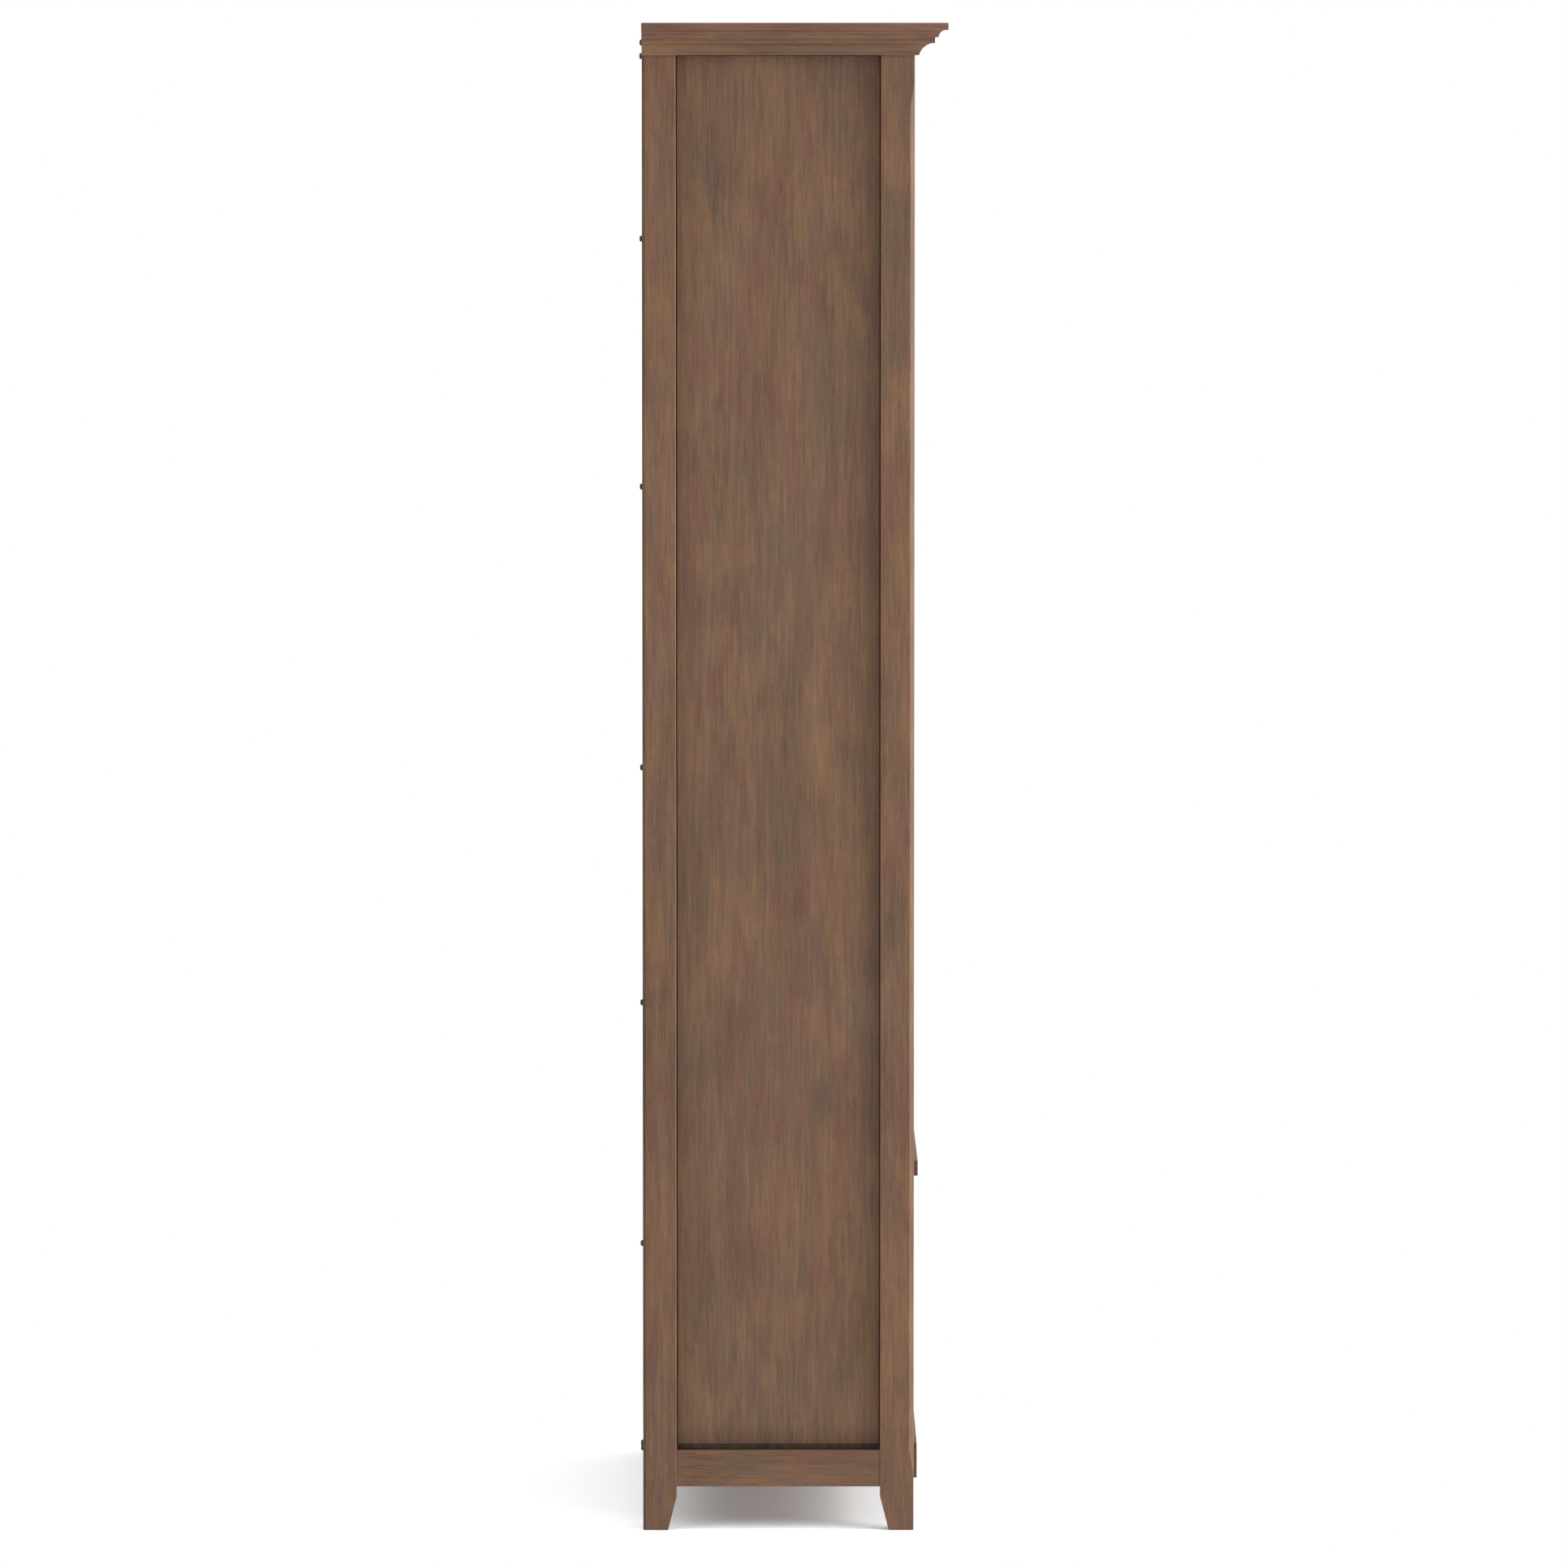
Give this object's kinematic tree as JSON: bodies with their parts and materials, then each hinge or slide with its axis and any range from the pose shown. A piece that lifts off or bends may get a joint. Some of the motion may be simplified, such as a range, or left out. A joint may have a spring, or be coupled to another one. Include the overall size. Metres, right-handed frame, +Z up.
{
  "type": "pantry cabinet",
  "caption": "Tall free-standing wooden pantry cabinet with frame-and-panel sides, hinged doors above and below a fixed shelf, adjustable shelves, tapered feet and a stepped crown",
  "frame": {"origin": "centre of the bounding box in plan, at floor level, under the feet", "axes": "+Z up, -Y out of the front through the doors, X along the width; left is -X"},
  "size_m": [0.7612, 0.3714, 1.829],
  "materials": {
    "frame_wood": "brown-stained solid wood, satin lacquer, vertical grain",
    "panel_wood": "brown-stained veneered board, satin lacquer",
    "dark_steel": "dark bronze paint",
    "bronzed_metal": "oil-rubbed bronze, satin",
    "plated_steel": "zinc plated"
  },
  "bodies": {
    "carcass": {"leg_front_left": "frame_wood", "leg_front_right": "frame_wood", "leg_back_left": "frame_wood", "leg_back_right": "frame_wood", "side_panel_left": "panel_wood", "side_panel_right": "panel_wood", "side_rail_lower_left": "frame_wood", "side_rail_lower_right": "frame_wood", "side_rail_upper_left": "frame_wood", "side_rail_upper_right": "frame_wood", "front_rail_top": "frame_wood", "front_rail_middle": "frame_wood", "front_rail_bottom": "frame_wood", "back_rail_top": "frame_wood", "back_rail_bottom": "frame_wood", "top_board": "frame_wood", "middle_board": "panel_wood", "bottom_board": "panel_wood", "back_panel_upper": "panel_wood", "back_panel_lower": "panel_wood", "crown_front": "frame_wood", "crown_left": "frame_wood", "crown_right": "frame_wood", "shelf_upper_1": "panel_wood", "shelf_upper_2": "panel_wood", "shelf_upper_3": "panel_wood", "shelf_lower": "panel_wood", "shelf_pins": "plated_steel", "back_screws": "dark_steel", "hinge_frame_leaves": "dark_steel", "hinge_pins": "dark_steel", "magnet_catches": "dark_steel"},
    "upper_left_door": {"upper_left_stiles": "frame_wood", "upper_left_rails": "frame_wood", "upper_left_panel": "panel_wood", "upper_left_hinge_leaves": "dark_steel", "upper_left_pull_plate": "bronzed_metal", "upper_left_strike": "plated_steel"},
    "upper_left_ring": {"upper_left_pull_ring": "bronzed_metal"},
    "upper_right_door": {"upper_right_stiles": "frame_wood", "upper_right_rails": "frame_wood", "upper_right_panel": "panel_wood", "upper_right_hinge_leaves": "dark_steel", "upper_right_pull_plate": "bronzed_metal", "upper_right_strike": "plated_steel"},
    "upper_right_ring": {"upper_right_pull_ring": "bronzed_metal"},
    "lower_left_door": {"lower_left_stiles": "frame_wood", "lower_left_rails": "frame_wood", "lower_left_panel": "panel_wood", "lower_left_hinge_leaves": "dark_steel", "lower_left_pull_plate": "bronzed_metal", "lower_left_strike": "plated_steel"},
    "lower_left_ring": {"lower_left_pull_ring": "bronzed_metal"},
    "lower_right_door": {"lower_right_stiles": "frame_wood", "lower_right_rails": "frame_wood", "lower_right_panel": "panel_wood", "lower_right_hinge_leaves": "dark_steel", "lower_right_pull_plate": "bronzed_metal", "lower_right_strike": "plated_steel"},
    "lower_right_ring": {"lower_right_pull_ring": "bronzed_metal"}
  },
  "joints": [
    {"name": "upper_left_hinge", "type": "hinge", "parent": "carcass", "child": "upper_left_door", "pos_m": [-0.31775, -0.14355, 1.09045], "axis": [0, 0, -1], "range_deg": [0, 110]},
    {"name": "upper_right_hinge", "type": "hinge", "parent": "carcass", "child": "upper_right_door", "pos_m": [0.31775, -0.14355, 1.09045], "axis": [0, 0, 1], "range_deg": [0, 110]},
    {"name": "lower_left_hinge", "type": "hinge", "parent": "carcass", "child": "lower_left_door", "pos_m": [-0.31775, -0.14355, 0.26775], "axis": [0, 0, -1], "range_deg": [0, 110]},
    {"name": "lower_right_hinge", "type": "hinge", "parent": "carcass", "child": "lower_right_door", "pos_m": [0.31775, -0.14355, 0.26775], "axis": [0, 0, 1], "range_deg": [0, 110]},
    {"name": "upper_left_ring_swing", "type": "hinge", "parent": "upper_left_door", "child": "upper_left_ring", "pos_m": [-0.02875, -0.14655, 1.0164], "axis": [-1, 0, 0], "range_deg": [0, 90]},
    {"name": "upper_right_ring_swing", "type": "hinge", "parent": "upper_right_door", "child": "upper_right_ring", "pos_m": [0.02875, -0.14655, 1.0164], "axis": [-1, 0, 0], "range_deg": [0, 90]},
    {"name": "lower_left_ring_swing", "type": "hinge", "parent": "lower_left_door", "child": "lower_left_ring", "pos_m": [-0.02875, -0.14655, 0.343], "axis": [-1, 0, 0], "range_deg": [0, 90]},
    {"name": "lower_right_ring_swing", "type": "hinge", "parent": "lower_right_door", "child": "lower_right_ring", "pos_m": [0.02875, -0.14655, 0.343], "axis": [-1, 0, 0], "range_deg": [0, 90]}
  ]
}
